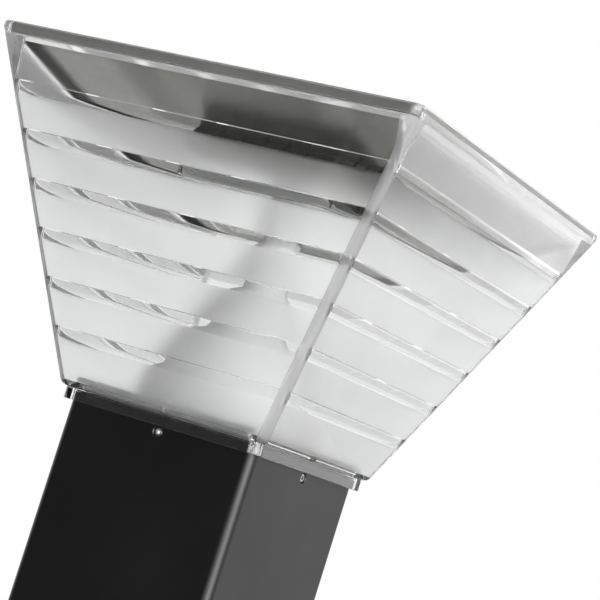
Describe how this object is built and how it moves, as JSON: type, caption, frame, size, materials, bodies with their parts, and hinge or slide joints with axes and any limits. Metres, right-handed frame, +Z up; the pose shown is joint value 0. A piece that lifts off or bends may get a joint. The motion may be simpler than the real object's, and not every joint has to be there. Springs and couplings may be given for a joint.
{
  "type": "bollard light",
  "caption": "Garden and path light on a square black post: a clear tapered square head, wider at the top and stepped inside, with a trumpet reflector and LEDs under a flat steel lid.",
  "frame": {"origin": "centre of the base plate's underside, on the ground", "axes": "+Z up along the post; +X and +Y out of two neighbouring post faces"},
  "size_m": [0.217, 0.217, 0.9],
  "materials": {
    "black_coat": "fine satin powder coat",
    "clear_plastic": "clear polycarbonate, polished outside, with satin bands and polished facets inside",
    "stainless": "brushed",
    "black_anodised": "black anodised",
    "white_enamel": "satin white",
    "cast_aluminium": "as cast, blasted",
    "rubber": "matt",
    "silicone": "pale, matt",
    "zinc_steel": "zinc plated",
    "board_white": "white lacquer",
    "led_phosphor": "yellow phosphor under a clear dome",
    "driver_case": "matt",
    "terminal_plastic": "matt",
    "cable_sheath": "matt",
    "lead_sheath": "matt",
    "brass": "bright"
  },
  "bodies": {
    "post": {"base_plate": "black_coat", "post_tube": "black_coat", "earth_stud": "brass", "earth_nut": "brass", "supply_cable": "cable_sheath", "post_gasket": "rubber"},
    "head": {"head_casting": "cast_aluminium", "clear_shell": "clear_plastic", "trumpet_reflector": "white_enamel", "flange_screw_1": "zinc_steel", "flange_screw_2": "zinc_steel", "flange_screw_3": "zinc_steel", "flange_screw_4": "zinc_steel", "gear_tray": "zinc_steel", "tray_screw_1": "zinc_steel", "tray_screw_2": "zinc_steel", "led_driver": "driver_case", "terminal_block": "terminal_plastic", "head_lead": "lead_sheath"},
    "lid": {"lid_plate": "stainless", "lid_gasket": "silicone", "heat_sink": "black_anodised", "led_board": "board_white", "lead_socket": "lead_sheath", "led_cover": "clear_plastic", "led_1": "led_phosphor", "led_2": "led_phosphor", "led_3": "led_phosphor", "led_4": "led_phosphor", "led_5": "led_phosphor", "led_6": "led_phosphor", "led_7": "led_phosphor", "led_8": "led_phosphor", "led_9": "led_phosphor", "led_10": "led_phosphor", "led_11": "led_phosphor", "led_12": "led_phosphor", "board_screw_1": "zinc_steel", "board_screw_2": "zinc_steel", "board_screw_3": "zinc_steel", "board_screw_4": "zinc_steel"},
    "set_screw_1": {"set_screw_1": "zinc_steel"},
    "set_screw_2": {"set_screw_2": "zinc_steel"},
    "set_screw_3": {"set_screw_3": "zinc_steel"},
    "set_screw_4": {"set_screw_4": "zinc_steel"},
    "lid_screw_1": {"lid_screw_1": "stainless"},
    "lid_screw_2": {"lid_screw_2": "stainless"},
    "lid_screw_3": {"lid_screw_3": "stainless"},
    "lid_screw_4": {"lid_screw_4": "stainless"}
  },
  "joints": [
    {"name": "head_lift", "type": "slide", "parent": "post", "child": "head", "axis": [0, 0, 1], "range_m": [0, 0.24]},
    {"name": "lid_lift", "type": "slide", "parent": "head", "child": "lid", "axis": [0, 0, 1], "range_m": [0, 0.06]},
    {"name": "set_screw_1_out", "type": "slide", "parent": "post", "child": "set_screw_1", "axis": [1, 0, 0], "range_m": [0, 0.006]},
    {"name": "set_screw_2_out", "type": "slide", "parent": "post", "child": "set_screw_2", "axis": [0, 1, 0], "range_m": [0, 0.006]},
    {"name": "set_screw_3_out", "type": "slide", "parent": "post", "child": "set_screw_3", "axis": [-1, 0, 0], "range_m": [0, 0.006]},
    {"name": "set_screw_4_out", "type": "slide", "parent": "post", "child": "set_screw_4", "axis": [0, -1, 0], "range_m": [0, 0.006]},
    {"name": "lid_screw_1_out", "type": "slide", "parent": "lid", "child": "lid_screw_1", "axis": [0, 0, 1], "range_m": [0, 0.012]},
    {"name": "lid_screw_2_out", "type": "slide", "parent": "lid", "child": "lid_screw_2", "axis": [0, 0, 1], "range_m": [0, 0.012]},
    {"name": "lid_screw_3_out", "type": "slide", "parent": "lid", "child": "lid_screw_3", "axis": [0, 0, 1], "range_m": [0, 0.012]},
    {"name": "lid_screw_4_out", "type": "slide", "parent": "lid", "child": "lid_screw_4", "axis": [0, 0, 1], "range_m": [0, 0.012]}
  ]
}
